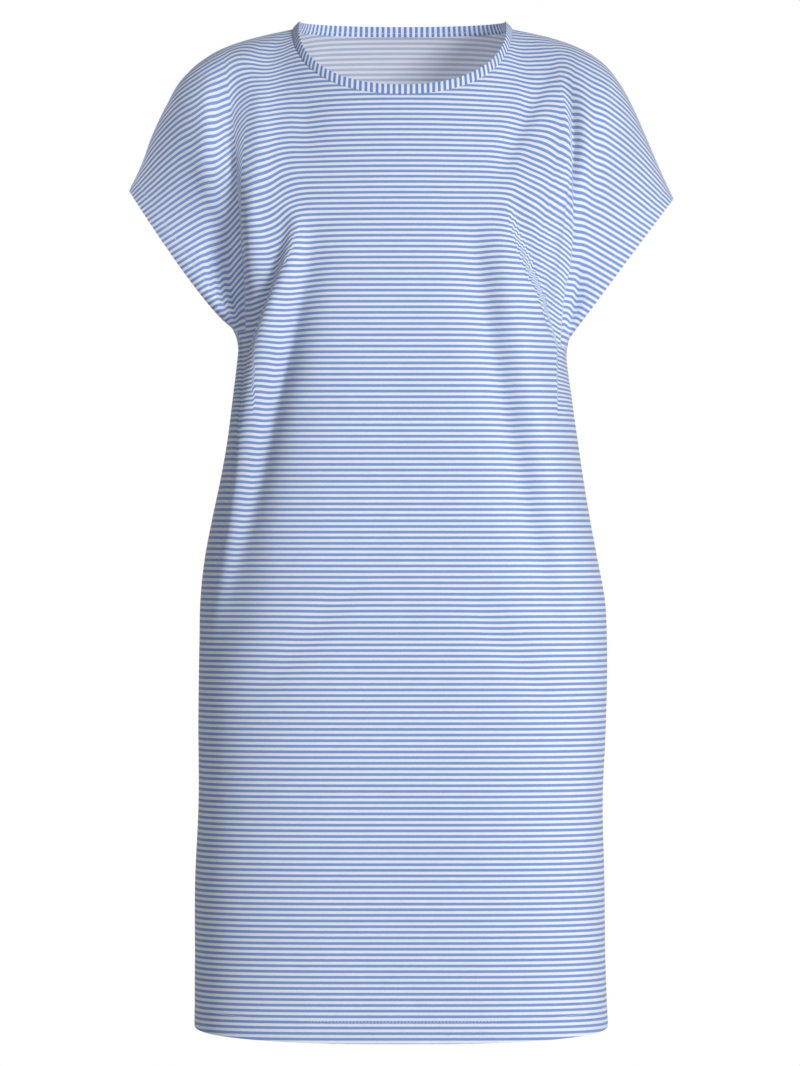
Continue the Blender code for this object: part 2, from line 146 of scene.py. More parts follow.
# Folds: height, distance from the middle, depth (ridges are negative), reach inwards and outwards
Crease = namedtuple("Crease", "height across depth inward outward")
FOLDS = {}
FOLDS["front", "left"] = (
    (
        Crease(-0.030, 0.153, 0.0, 0.011, 0.015),
        Crease(-0.070, 0.154, 0.006, 0.011, 0.015),
        Crease(-0.130, 0.158, 0.010, 0.011, 0.015),
        Crease(-0.190, 0.157, 0.010, 0.011, 0.014),
        Crease(-0.240, 0.152, 0.007, 0.010, 0.012),
        Crease(-0.275, 0.146, 0.0, 0.010, 0.012),
    ),
    (
        Crease(-0.160, 0.096, 0.0, 0.014, 0.014),
        Crease(-0.200, 0.094, -0.006, 0.014, 0.014),
        Crease(-0.270, 0.121, -0.010, 0.014, 0.014),
        Crease(-0.350, 0.139, -0.009, 0.014, 0.014),
        Crease(-0.430, 0.154, -0.007, 0.016, 0.014),
        Crease(-0.500, 0.166, -0.004, 0.018, 0.014),
        Crease(-0.560, 0.174, 0.0, 0.018, 0.014),
    ),
    (
        Crease(-0.165, 0.082, 0.0, 0.018, 0.014),
        Crease(-0.210, 0.086, 0.006, 0.018, 0.014),
        Crease(-0.270, 0.101, 0.010, 0.018, 0.014),
        Crease(-0.350, 0.121, 0.009, 0.018, 0.014),
        Crease(-0.450, 0.142, 0.007, 0.020, 0.014),
        Crease(-0.540, 0.160, 0.004, 0.022, 0.014),
        Crease(-0.610, 0.174, 0.0, 0.022, 0.014),
    ),
)
FOLDS["front", "right"] = (
    (
        Crease(-0.045, 0.150, 0.0, 0.014, 0.012),
        Crease(-0.090, 0.152, 0.005, 0.014, 0.012),
        Crease(-0.150, 0.155, 0.007, 0.013, 0.012),
        Crease(-0.200, 0.153, 0.008, 0.013, 0.012),
        Crease(-0.250, 0.147, 0.006, 0.012, 0.012),
        Crease(-0.280, 0.143, 0.0, 0.012, 0.012),
    ),
    (
        Crease(-0.170, 0.062, 0.0, 0.020, 0.016),
        Crease(-0.220, 0.068, 0.004, 0.020, 0.016),
        Crease(-0.300, 0.083, 0.006, 0.020, 0.016),
        Crease(-0.400, 0.104, 0.006, 0.020, 0.016),
        Crease(-0.480, 0.122, 0.004, 0.020, 0.016),
        Crease(-0.560, 0.140, 0.0, 0.020, 0.016),
    ),
    (
        Crease(-0.170, 0.088, 0.0, 0.014, 0.018),
        Crease(-0.220, 0.094, -0.005, 0.014, 0.018),
        Crease(-0.300, 0.108, -0.006, 0.014, 0.018),
        Crease(-0.400, 0.129, -0.006, 0.014, 0.018),
        Crease(-0.480, 0.147, -0.004, 0.014, 0.018),
        Crease(-0.560, 0.163, 0.0, 0.014, 0.018),
    ),
)
FOLDS["back", "left"] = (
    (
        Crease(-0.045, 0.150, 0.0, 0.014, 0.014),
        Crease(-0.100, 0.150, 0.006, 0.014, 0.014),
        Crease(-0.180, 0.150, 0.009, 0.014, 0.014),
        Crease(-0.240, 0.146, 0.006, 0.013, 0.013),
        Crease(-0.275, 0.142, 0.0, 0.013, 0.013),
    ),
    (
        Crease(-0.170, 0.098, 0.0, 0.018, 0.016),
        Crease(-0.250, 0.108, 0.006, 0.018, 0.016),
        Crease(-0.350, 0.120, 0.007, 0.018, 0.016),
        Crease(-0.460, 0.134, 0.005, 0.020, 0.018),
        Crease(-0.570, 0.148, 0.0, 0.022, 0.018),
    ),
)
FOLDS["back", "right"] = (
    (
        Crease(-0.045, 0.152, 0.0, 0.014, 0.014),
        Crease(-0.100, 0.153, 0.006, 0.014, 0.014),
        Crease(-0.185, 0.152, 0.008, 0.014, 0.014),
        Crease(-0.250, 0.147, 0.006, 0.013, 0.013),
        Crease(-0.285, 0.143, 0.0, 0.013, 0.013),
    ),
    (
        Crease(-0.180, 0.090, 0.0, 0.020, 0.016),
        Crease(-0.270, 0.102, 0.006, 0.020, 0.016),
        Crease(-0.380, 0.118, 0.006, 0.020, 0.016),
        Crease(-0.490, 0.136, 0.004, 0.020, 0.018),
        Crease(-0.600, 0.152, 0.0, 0.022, 0.018),
    ),
)

# Fine creases, laid over the folds in the same way
CREASES = {}
CREASES["front", "left"] = (
    # Armhole: a ridge of chest cloth, then a second, wider drop behind the fold's first one
    (
        Crease(-0.025, 0.132, 0.0, 0.014, 0.008),
        Crease(-0.060, 0.132, -0.003, 0.014, 0.008),
        Crease(-0.140, 0.134, -0.004, 0.012, 0.008),
        Crease(-0.200, 0.137, -0.003, 0.010, 0.007),
        Crease(-0.240, 0.138, 0.0, 0.008, 0.007),
    ),
    (
        Crease(-0.022, 0.155, 0.0, 0.010, 0.012),
        Crease(-0.060, 0.158, 0.004, 0.010, 0.014),
        Crease(-0.120, 0.161, 0.005, 0.010, 0.016),
        Crease(-0.190, 0.160, 0.005, 0.009, 0.014),
        Crease(-0.245, 0.154, 0.003, 0.007, 0.010),
        Crease(-0.272, 0.150, 0.0, 0.006, 0.008),
    ),
    # Sharp edge that runs down from the bust to the underarm
    (
        Crease(-0.165, 0.104, 0.0, 0.005, 0.014),
        Crease(-0.190, 0.108, 0.006, 0.005, 0.014),
        Crease(-0.215, 0.115, 0.009, 0.005, 0.014),
        Crease(-0.250, 0.127, 0.009, 0.005, 0.012),
        Crease(-0.300, 0.140, 0.007, 0.005, 0.010),
        Crease(-0.350, 0.148, 0.005, 0.006, 0.010),
        Crease(-0.400, 0.156, 0.003, 0.006, 0.010),
        Crease(-0.440, 0.162, 0.0, 0.006, 0.010),
    ),
    # Bottom of the long flank fold
    (
        Crease(-0.170, 0.086, 0.0, 0.008, 0.007),
        Crease(-0.200, 0.088, 0.004, 0.009, 0.007),
        Crease(-0.264, 0.104, 0.005, 0.010, 0.007),
        Crease(-0.350, 0.124, 0.004, 0.010, 0.007),
        Crease(-0.455, 0.145, 0.003, 0.010, 0.007),
        Crease(-0.540, 0.166, 0.0, 0.010, 0.007),
    ),
    # Soft waves of the chest and of the sleeve
    (
        Crease(-0.040, 0.088, 0.0, 0.014, 0.010),
        Crease(-0.080, 0.088, 0.002, 0.014, 0.010),
        Crease(-0.130, 0.088, 0.0, 0.014, 0.010),
    ),
    (
        Crease(-0.030, 0.169, 0.0, 0.007, 0.007),
        Crease(-0.070, 0.170, 0.0020, 0.007, 0.007),
        Crease(-0.140, 0.171, 0.0020, 0.007, 0.007),
        Crease(-0.200, 0.168, 0.0, 0.007, 0.007),
    ),
    (
        Crease(-0.030, 0.186, 0.0, 0.008, 0.008),
        Crease(-0.080, 0.190, 0.0014, 0.008, 0.008),
        Crease(-0.150, 0.194, 0.0, 0.008, 0.008),
    ),
    # Short crinkles gathered at the underarm
    (
        Crease(-0.205, 0.159, 0.0, 0.004, 0.004),
        Crease(-0.240, 0.157, 0.0030, 0.003, 0.003),
        Crease(-0.258, 0.154, 0.0035, 0.003, 0.003),
        Crease(-0.274, 0.150, 0.0, 0.003, 0.003),
    ),
    (
        Crease(-0.190, 0.171, 0.0, 0.005, 0.005),
        Crease(-0.222, 0.169, 0.0025, 0.004, 0.004),
        Crease(-0.245, 0.165, 0.0030, 0.003, 0.003),
        Crease(-0.270, 0.160, 0.0, 0.003, 0.003),
    ),
    (
        Crease(-0.195, 0.180, 0.0, 0.005, 0.004),
        Crease(-0.225, 0.176, 0.0020, 0.004, 0.003),
        Crease(-0.250, 0.172, 0.0, 0.003, 0.003),
    ),
    # Drag line below the hip
    (
        Crease(-0.490, 0.035, 0.0, 0.020, 0.018),
        Crease(-0.530, 0.068, 0.0016, 0.020, 0.018),
        Crease(-0.580, 0.108, 0.0016, 0.020, 0.018),
        Crease(-0.630, 0.150, 0.0, 0.020, 0.018),
    ),
)
CREASES["front", "right"] = (
    (
        Crease(-0.035, 0.147, 0.0, 0.003, 0.008),
        Crease(-0.075, 0.152, 0.003, 0.003, 0.008),
        Crease(-0.150, 0.155, 0.005, 0.003, 0.008),
        Crease(-0.200, 0.154, 0.005, 0.003, 0.008),
        Crease(-0.240, 0.147, 0.004, 0.003, 0.007),
        Crease(-0.282, 0.141, 0.0, 0.003, 0.005),
    ),
    (
        Crease(-0.150, 0.098, 0.0, 0.0025, 0.012),
        Crease(-0.174, 0.1015, 0.004, 0.0025, 0.012),
        Crease(-0.212, 0.112, 0.007, 0.0025, 0.011),
        Crease(-0.245, 0.126, 0.007, 0.0025, 0.010),
        Crease(-0.270, 0.135, 0.005, 0.003, 0.008),
        Crease(-0.295, 0.143, 0.0, 0.003, 0.006),
    ),
    (
        Crease(-0.170, 0.062, 0.0, 0.010, 0.008),
        Crease(-0.200, 0.066, 0.001, 0.010, 0.008),
        Crease(-0.264, 0.078, 0.002, 0.010, 0.008),
        Crease(-0.350, 0.095, 0.002, 0.010, 0.008),
        Crease(-0.455, 0.118, 0.001, 0.010, 0.008),
        Crease(-0.540, 0.142, 0.0, 0.010, 0.008),
    ),
    (
        Crease(-0.020, 0.140, 0.0, 0.012, 0.008),
        Crease(-0.060, 0.122, 0.002, 0.012, 0.008),
        Crease(-0.100, 0.104, 0.003, 0.012, 0.008),
        Crease(-0.150, 0.085, 0.0, 0.012, 0.008),
    ),
    (
        Crease(-0.030, 0.172, 0.0, 0.008, 0.007),
        Crease(-0.080, 0.174, 0.0020, 0.008, 0.007),
        Crease(-0.140, 0.174, 0.0020, 0.008, 0.007),
        Crease(-0.200, 0.170, 0.0, 0.008, 0.007),
    ),
    (
        Crease(-0.205, 0.165, 0.0, 0.004, 0.004),
        Crease(-0.240, 0.160, 0.0030, 0.003, 0.004),
        Crease(-0.265, 0.154, 0.0025, 0.003, 0.003),
        Crease(-0.284, 0.148, 0.0, 0.003, 0.003),
    ),
    (
        Crease(-0.195, 0.126, 0.0, 0.004, 0.004),
        Crease(-0.225, 0.134, 0.0030, 0.003, 0.004),
        Crease(-0.250, 0.139, 0.0040, 0.003, 0.003),
        Crease(-0.280, 0.143, 0.0, 0.003, 0.003),
    ),
    (
        Crease(-0.500, 0.052, 0.0, 0.020, 0.018),
        Crease(-0.540, 0.080, 0.0016, 0.020, 0.018),
        Crease(-0.590, 0.118, 0.0016, 0.020, 0.018),
        Crease(-0.640, 0.155, 0.0, 0.020, 0.018),
    ),
)
CREASES["back", "left"] = (
    (
        Crease(-0.040, 0.150, 0.0, 0.008, 0.008),
        Crease(-0.100, 0.151, 0.003, 0.007, 0.008),
        Crease(-0.190, 0.151, 0.004, 0.006, 0.008),
        Crease(-0.275, 0.143, 0.0, 0.006, 0.006),
    ),
    (
        Crease(-0.180, 0.100, 0.0, 0.008, 0.012),
        Crease(-0.260, 0.110, 0.004, 0.007, 0.012),
        Crease(-0.380, 0.124, 0.004, 0.008, 0.012),
        Crease(-0.520, 0.142, 0.0, 0.010, 0.012),
    ),
    (
        Crease(-0.120, 0.060, 0.0, 0.012, 0.012),
        Crease(-0.220, 0.058, 0.003, 0.012, 0.010),
        Crease(-0.330, 0.066, 0.003, 0.012, 0.010),
        Crease(-0.450, 0.080, 0.0, 0.014, 0.012),
    ),
    (
        Crease(-0.215, 0.160, 0.0, 0.004, 0.004),
        Crease(-0.245, 0.156, 0.003, 0.003, 0.004),
        Crease(-0.275, 0.148, 0.0, 0.003, 0.003),
    ),
)
CREASES["back", "right"] = (
    (
        Crease(-0.040, 0.152, 0.0, 0.008, 0.008),
        Crease(-0.110, 0.154, 0.003, 0.007, 0.008),
        Crease(-0.200, 0.152, 0.004, 0.006, 0.008),
        Crease(-0.285, 0.143, 0.0, 0.006, 0.006),
    ),
    (
        Crease(-0.190, 0.093, 0.0, 0.009, 0.012),
        Crease(-0.280, 0.105, 0.004, 0.008, 0.012),
        Crease(-0.400, 0.122, 0.003, 0.008, 0.012),
        Crease(-0.550, 0.146, 0.0, 0.010, 0.012),
    ),
    (
        Crease(-0.140, 0.052, 0.0, 0.012, 0.012),
        Crease(-0.240, 0.054, 0.003, 0.012, 0.010),
        Crease(-0.360, 0.064, 0.003, 0.012, 0.010),
        Crease(-0.480, 0.078, 0.0, 0.014, 0.012),
    ),
    (
        Crease(-0.220, 0.163, 0.0, 0.004, 0.004),
        Crease(-0.250, 0.157, 0.003, 0.003, 0.004),
        Crease(-0.280, 0.148, 0.0, 0.003, 0.003),
    ),
)

# Shares of a sleeve's width and of the chest's height over which folds die away at a seam
SEAM_CALM = 0.31
UNDERARM_CALM = 0.30
TOP_CALM = 0.20
CREASE_CALM = 0.10
CREASE_UNDERARM_CALM = 0.10

SIDES = {"front": ("left", "right"), "back": ("right", "left")}
OUTWARD = {"left": -1.0, "right": 1.0}
AWAY_FROM_BODY = {"front": -1.0, "back": 1.0}
FINE = 200
MICRONS = 1e6

# Places of the columns, where one is the way from a seam to a neck point, and of the rows
SLEEVE_PLACES = np.linspace(0, 1, SLEEVE_STEPS + 1) ** SEAM_CROWDING
PLACES = np.concatenate([
    SLEEVE_PLACES[:-1],
    1 + np.linspace(0, NECK_SPAN, NECK_STEPS + 1),
    2 + NECK_SPAN - SLEEVE_PLACES[-2::-1],
])
AWAY = np.minimum(PLACES, PLACES[::-1])
LEVELS = np.linspace(0, 1, BODY_STEPS + 1) ** HEM_CROWDING
RISES = 1 - (1 - np.linspace(0, 1, CHEST_STEPS + 1)[1:]) ** SHOULDER_CROWDING


def through(rows, column, heights):
    """A smooth curve through one column of a table, read at the given heights."""
    table = sorted((row.height, getattr(row, column)) for row in rows)
    known = np.array([height for height, _ in table])
    values = np.array([value for _, value in table])
    slopes = np.gradient(values, known)
    at = np.clip(heights, known[0], known[-1])
    cell = np.clip(np.searchsorted(known, at) - 1, 0, len(known) - 2)
    span = known[cell + 1] - known[cell]
    part = (at - known[cell]) / span
    return hermite(values[cell], slopes[cell] * span, values[cell + 1], slopes[cell + 1] * span, part)


def readings(rows, heights):
    """Every column of a table but the heights, read at the given heights."""
    return [through(rows, column, heights) for column in rows[0]._fields[1:]]


def hermite(start, start_pull, end, end_pull, part):
    """A cubic from start to end that leaves and arrives along the two pulls."""
    squared = part * part
    cubed = squared * part
    return (
        (2 * cubed - 3 * squared + 1) * start
        + (cubed - 2 * squared + part) * start_pull
        + (3 * squared - 2 * cubed) * end
        + (cubed - squared) * end_pull
    )


def ease(part):
    part = np.clip(part, 0.0, 1.0)
    return part * part * (3 - 2 * part)


def unit(vectors):
    return vectors / np.linalg.norm(vectors, axis=-1, keepdims=True)


def ring(turn, heights):
    """Points of the body's outline at each turn, in radians from the middle of the front."""
    across = np.sin(turn)
    ahead = np.cos(turn)
    left, right, front, back = readings(SECTIONS, heights)
    width = np.where(across < 0, left, right)
    depth = np.where(ahead > 0, front, back)
    power = RING_EXPONENT
    reach = (np.abs(across / width) ** power + np.abs(ahead / depth) ** power) ** (-1 / power)
    return np.stack([reach * across, -reach * ahead, heights], axis=-1)


def seam_turn(side, heights):
    return OUTWARD[side] * np.radians(through(SEAMS, side, heights))


def column_turns(face, heights):
    """The turn of each column of a panel, for rows of heights with one for each column."""
    start, end = SIDES[face]
    near = math.radians(NECK_TURN)
    centre = 0.0 if face == "front" else math.pi
    first = seam_turn(start, heights[:, :SLEEVE_STEPS])
    last = seam_turn(end, heights[:, -SLEEVE_STEPS:]) + 2 * centre
    before = first + (centre - near - first) * SLEEVE_PLACES[:-1]
    after = last + (centre + near - last) * SLEEVE_PLACES[-2::-1]
    middle = np.linspace(centre - near, centre + near, NECK_STEPS + 1)
    return np.concatenate([before, np.tile(middle, (len(heights), 1)), after], axis=1)


def underarm_heights(face):
    """Heights of the row that ends at the two underarm points and dips between them."""
    start, end = (CUFFS[side].underarm_height for side in SIDES[face])
    spread = (90 - NECK_TURN) / ROW_DIP_TURN
    return start + (end - start) * PLACES / PLACES[-1] - ROW_DIP * ease(AWAY * spread)


def hem_heights(face):
    """Heights of the hem, which curves up towards the side seams."""
    level = np.full((1, len(PLACES)), HEM_HEIGHT)
    return level + HEM_RISE * np.abs(np.sin(column_turns(face, level))) ** HEM_CURVE


def body_rows(face):
    """Rows from the hem to the underarm row."""
    hem = hem_heights(face)
    heights = hem + (underarm_heights(face) - hem) * LEVELS[:, None]
    return ring(column_turns(face, heights), heights)


def run_along(grid, axis):
    """Length along each row (axis 1) or column (axis 0) of a grid, from its first point."""
    steps = np.linalg.norm(np.diff(grid, axis=axis), axis=-1)
    start = np.zeros_like(np.take(steps, [0], axis=axis))
    return np.cumsum(np.concatenate([start, steps], axis=axis), axis=axis)


def along_line(lengths, run, line):
    """Points at these lengths along a line, where run is the length up to each of its points."""
    return np.stack([np.interp(lengths, run, line[:, axis]) for axis in range(3)], axis=-1)


def evenly(line, places):
    """Points at these shares of the length of a line."""
    run = run_along(line, 0)
    return along_line(places * run[-1], run, line)


def shoulder_line(side):
    """From the sleeve's tip up to the neck point."""
    drop = CUFFS[side].tip_drop
    lowest = SHOULDERS[-1].height
    heights = np.linspace(lowest, NECK_POINT_HEIGHT, FINE)
    across = OUTWARD[side] * through(SHOULDERS, side, heights)
    lowered = heights - drop * ease((NECK_POINT_HEIGHT - heights) / (NECK_POINT_HEIGHT - lowest))
    return evenly(np.stack([across, np.zeros(FINE), lowered], axis=-1), SLEEVE_PLACES)


def neck_share(face, points):
    """0 at the neck points and 1 at the middle of the front or back."""
    return np.clip(np.abs(points[..., 1]) / NECKS[face].depth, 0, 1)


def neckline(face):
    """The panel's neck edge, from its starting side to its ending side."""
    angle = np.linspace(-math.pi / 2, math.pi / 2, 4 * FINE + 1)
    power = 2 / NECK_EXPONENT
    fall = np.cos(angle).clip(0) ** power
    across = NECK_HALF_WIDTH * np.sign(angle) * np.abs(np.sin(angle)) ** power
    away = AWAY_FROM_BODY[face]
    neck = NECKS[face]
    y = away * neck.depth * fall**neck.fullness
    z = NECK_POINT_HEIGHT - neck.drop * fall
    return evenly(np.stack([-away * across, y, z], axis=-1), np.linspace(0, 1, NECK_STEPS + 1))


def top_edge(face):
    """Both shoulder lines of a panel, with its neck edge between them."""
    start, end = SIDES[face]
    return np.concatenate([shoulder_line(start)[:-1], neckline(face), shoulder_line(end)[-2::-1]])


def aim(direction, face, x):
    """A direction given as inward, towards the shoulder line and up, for points at x."""
    inward = np.where(x < 0, 1.0, -1.0)
    towards = np.full_like(inward, -AWAY_FROM_BODY[face])
    return np.stack([inward, towards, np.ones_like(inward)], axis=-1) * direction


def arrivals(face, top, span):
    """How each column pulls as it reaches the neck or rolls over the shoulder."""
    x = top[:, 0]
    at_neck = np.where(AWAY >= 1 - 1e-9, neck_share(face, top) ** NECK_TURNING, 0.0)[:, None]
    near_neck = (np.minimum(AWAY, 1) ** 2)[:, None]
    chest = aim(CHEST_ARRIVAL if face == "front" else NAPE_ARRIVAL, face, x)
    shoulder = (1 - near_neck) * aim(ROLL_ARRIVAL, face, x) + near_neck * aim(NECK_POINT_ARRIVAL, face, x)
    way = unit(at_neck * chest + (1 - at_neck) * shoulder)
    return way * span * (CHEST_PULL * at_neck + ROLL_PULL * (1 - at_neck))


def cuff_pulls(face, side, chord):
    """The two pulls that make half a sleeve opening into half an oval, with its lower edge sagging."""
    cuff = CUFFS[side]
    below = unit(np.array([OUTWARD[side] * chord[2], 0, -abs(chord[0])]))
    bulge = AWAY_FROM_BODY[face] * np.array([0, PULL_PER_DEPTH * getattr(cuff, face), 0])
    return bulge + below * cuff.sag, -bulge


def chest_rows(face, bottom, slope):
    """Rows from the underarm row to the shoulders and neck, without the underarm row."""
    top = top_edge(face)
    chords = top - bottom
    span = np.linalg.norm(chords, axis=1, keepdims=True)
    leave = slope * span * RISE_PULL
    arrive = arrivals(face, top, span)
    held = ease(1 - AWAY / CUFF_HOLD)
    first_half = np.arange(len(top)) < len(top) / 2
    for side, end, half in zip(SIDES[face], (0, -1), (first_half, ~first_half)):
        cuff_leave, cuff_arrive = cuff_pulls(face, side, chords[end])
        hold = (held * half)[:, None]
        leave = leave * (1 - hold) + cuff_leave * hold
        arrive = arrive * (1 - hold) + cuff_arrive * hold
    return np.array([hermite(bottom, leave, top, arrive, rise) for rise in RISES])


def is_ring(grid):
    return np.allclose(grid[:, 0], grid[:, -1])


def along_rows(grid):
    """The direction of the rows at each point, carried round where the grid is a ring."""
    if is_ring(grid):
        grid = np.concatenate([grid[:, -2:-1], grid, grid[:, 1:2]], axis=1)
        return np.gradient(grid, axis=1)[:, 1:-1]
    return np.gradient(grid, axis=1)


def face_normals(grid):
    """Outward normals of a grid whose columns run anticlockwise seen from above."""
    return unit(np.cross(along_rows(grid), np.gradient(grid, axis=0)))


def crease_depth(creases, heights, across):
    """How far one fold pulls each point in."""
    middle, depth, inward, outward = readings(creases, heights)
    off = across - middle
    reach = np.where(off < 0, inward, outward)
    inside = (heights > creases[-1].height) & (heights < creases[0].height)
    return np.where(inside, depth * np.exp(-((off / reach) ** 2)), 0.0)


def calm(reach, underarm_reach):
    """1 where folds keep their depth, and 0 along the seams, where the pieces have to meet."""
    rise = np.concatenate([np.zeros(BODY_STEPS + 1), RISES])[:, None]
    edge = (AWAY / reach)[None, :]
    sides = np.where(rise > 0, ease(np.maximum(edge, rise / underarm_reach)), ease(edge))
    return sides * ease((1 - rise) / TOP_CALM)


def pull_of(face, points, table, kept):
    """How far the folds of a table pull each point in, with the shares that are kept near the seams."""
    pull = np.zeros(points.shape[:2])
    for side in SIDES[face]:
        across = OUTWARD[side] * points[..., 0]
        for creases in table[face, side]:
            pull += np.where(across > 0, crease_depth(creases, points[..., 2], across), 0.0)
    return pull * kept


def fine_pull(face, points):
    return pull_of(face, points, CREASES, calm(CREASE_CALM, CREASE_UNDERARM_CALM))


def folded(face, points):
    """The panel with its folds and creases."""
    pull = pull_of(face, points, FOLDS, calm(SEAM_CALM, UNDERARM_CALM)) + fine_pull(face, points)
    return points - face_normals(points) * pull[..., None]


def panel(face):
    body = body_rows(face)
    slope = unit(body[-1] - body[-2])
    return folded(face, np.concatenate([body, chest_rows(face, body[-1], slope)]))


def shared_normals(grids):
    """Normals that agree wherever two pieces meet."""
    totals = {}
    keys = [np.rint(grid * MICRONS).astype(int) for grid in grids]
    for grid, places in zip(grids, keys):
        normals = face_normals(grid)
        if is_ring(grid):
            places, normals = places[:, :-1], normals[:, :-1]
        for place, normal in zip(places.reshape(-1, 3), normals.reshape(-1, 3)):
            totals[tuple(place)] = totals.get(tuple(place), 0) + normal
    return [
        unit(np.array([totals[tuple(place)] for place in places.reshape(-1, 3)])).reshape(places.shape)
        for places in keys
    ]


# Where the stripes turn down towards a sleeve, how steeply, how much cloth is tucked into the fold there,
# and where the sleeve's own run of stripes begins
Turn = namedtuple("Turn", "height across fall tuck armhole width")
TURNS = {
    "left": (
        Turn(0.010, 0.125, 0.06, 0.000, 0.147, 0.0200),
        Turn(-0.050, 0.125, 0.06, 0.000, 0.148, 0.0120),
        Turn(-0.090, 0.125, 0.10, 0.000, 0.148, 0.0060),
        Turn(-0.118, 0.112, 0.20, 0.000, 0.148, 0.0030),
        Turn(-0.147, 0.096, 0.28, 0.000, 0.148, 0.0015),
        Turn(-0.172, 0.094, 0.36, 0.000, 0.147, 0.0008),
        Turn(-0.200, 0.102, 0.44, 0.003, 0.146, 0.0005),
        Turn(-0.227, 0.113, 0.48, 0.007, 0.144, 0.0003),
        Turn(-0.250, 0.122, 0.50, 0.011, 0.143, 0.0003),
        Turn(-0.290, 0.135, 0.42, 0.016, 0.142, 0.0003),
    ),
    "right": (
        Turn(0.010, 0.140, 0.10, 0.000, 0.150, 0.0200),
        Turn(-0.050, 0.140, 0.20, 0.000, 0.150, 0.0060),
        Turn(-0.075, 0.136, 0.30, 0.000, 0.152, 0.0030),
        Turn(-0.097, 0.126, 0.42, 0.000, 0.153, 0.0010),
        Turn(-0.118, 0.113, 0.48, 0.000, 0.154, 0.0006),
        Turn(-0.147, 0.106, 0.54, 0.000, 0.155, 0.0004),
        Turn(-0.174, 0.101, 0.66, 0.000, 0.155, 0.0003),
        Turn(-0.212, 0.112, 0.78, 0.0045, 0.153, 0.0003),
        Turn(-0.245, 0.126, 0.86, 0.0120, 0.147, 0.0003),
        Turn(-0.290, 0.140, 0.66, 0.0200, 0.143, 0.0003),
    ),
}
TURN_SOFTNESS = 0.006
EDGE_SOFTNESS = 0.0008
TUCK_SOFTNESS = 0.0005
FULL_TUCK = 0.005
UNDERARM_MARGIN = 0.004
LOWEST_TURN = -0.36
TURN_BLEND = 0.08
ROLL_START = 0.45
ROLL_BLEND = 0.2
ROLL_SHARE = 0.65
BODY_WAVE = 0.25
SLEEVE_WAVE = 0.85
SLEEVE_SLANT = {"left": 31.0, "right": 30.0}
SLEEVE_TOP = {"left": (0.147, -0.050), "right": (0.150, -0.050)}


def body_heights(grid, centre):
    """Height of each point on the flat cloth: level on the body, and measured up each column above it."""
    level = run_along(centre, 0)
    slope = (level[-1] - level[-2]) / (centre[-1, 2] - centre[-2, 2])
    heights = grid[:BODY_STEPS + 1, :, 2]
    body = np.interp(heights, centre[:, 2], level) + np.clip(heights - centre[-1, 2], 0, None) * slope
    rising = grid[BODY_STEPS:].copy()
    rising[..., 0] = 0
    return np.concatenate([body, body[-1] + run_along(rising, 0)[1:]])


def shoulder_roll(grid):
    """How much longer the cloth is than it looks from the front, as it rolls over the shoulder."""
    step = np.diff(grid, axis=0)
    extra = np.hypot(step[..., 1], step[..., 2]) - np.abs(step[..., 2])
    rise = np.concatenate([np.zeros(BODY_STEPS), RISES])[:, None]
    extra = np.cumsum(extra * ease((rise - ROLL_START) / ROLL_BLEND), axis=0)
    return np.concatenate([np.zeros_like(extra[:1]), extra])


def stripe_heights(face, grid, centre):
    """Heights on the striped cloth of body and sleeves, and how far each point lies past the armhole."""
    body = body_heights(grid, centre)
    roll = shoulder_roll(grid)
    sleeve = np.zeros_like(body)
    past = np.zeros_like(body)
    middle = grid.shape[1] // 2
    for side, half in zip(SIDES[face], (slice(0, middle), slice(middle, None))):
        across, up = np.abs(grid[:, half, 0]), grid[:, half, 2]
        turn, fall, tuck, armhole, width = readings(TURNS[side], up)
        turning = ease((up - LOWEST_TURN) / TURN_BLEND)
        off = across - turn
        soft = TURN_SOFTNESS - (TURN_SOFTNESS - EDGE_SOFTNESS) * ease(tuck / FULL_TUCK)
        body[:, half] += turning * fall * soft * np.logaddexp(0, off / soft)
        body[:, half] += turning * tuck * ease(off / TUCK_SOFTNESS)
        slant = math.radians(SLEEVE_SLANT[side])
        out, top = SLEEVE_TOP[side]
        start = body[:, half].ravel()[np.hypot(across - out, up - top).argmin()]
        climb = (up - top) * math.cos(slant) + (across - out) * math.sin(slant)
        sleeve[:, half] = start + climb + ROLL_SHARE * roll[:, half]
        above = up - CUFFS[side].underarm_height + UNDERARM_MARGIN
        past[:, half] = np.minimum(across - armhole, above) / width
    waves = fine_pull(face, grid)
    body += BODY_WAVE * waves
    sleeve += SLEEVE_WAVE * waves
    past[:BODY_STEPS + 1] = np.minimum(past[:BODY_STEPS + 1], -1.0)
    return run_along(grid, 1), body, sleeve, past


# The wall of a panel: two layers of faces round the middle of the cloth, closed along its edges
SHARP_EDGE = 50.0
FLIPPED = [0, 3, 2, 1]


def quads(index):
    """The four corners of every cell of a grid of numbers."""
    return np.stack([index[:-1, :-1], index[:-1, 1:], index[1:, 1:], index[1:, :-1]], axis=-1)


def rim(loop, count):
    """Faces that close the cloth's edge, from the outer points of a loop to the inner ones."""
    return [(a, count + a, count + b, b) for a, b in zip(loop, loop[1:])]


def in_scene(name, data):
    """An object at the origin that shows this data."""
    thing = bpy.data.objects.new(name, data)
    bpy.context.scene.collection.objects.link(thing)
    return thing


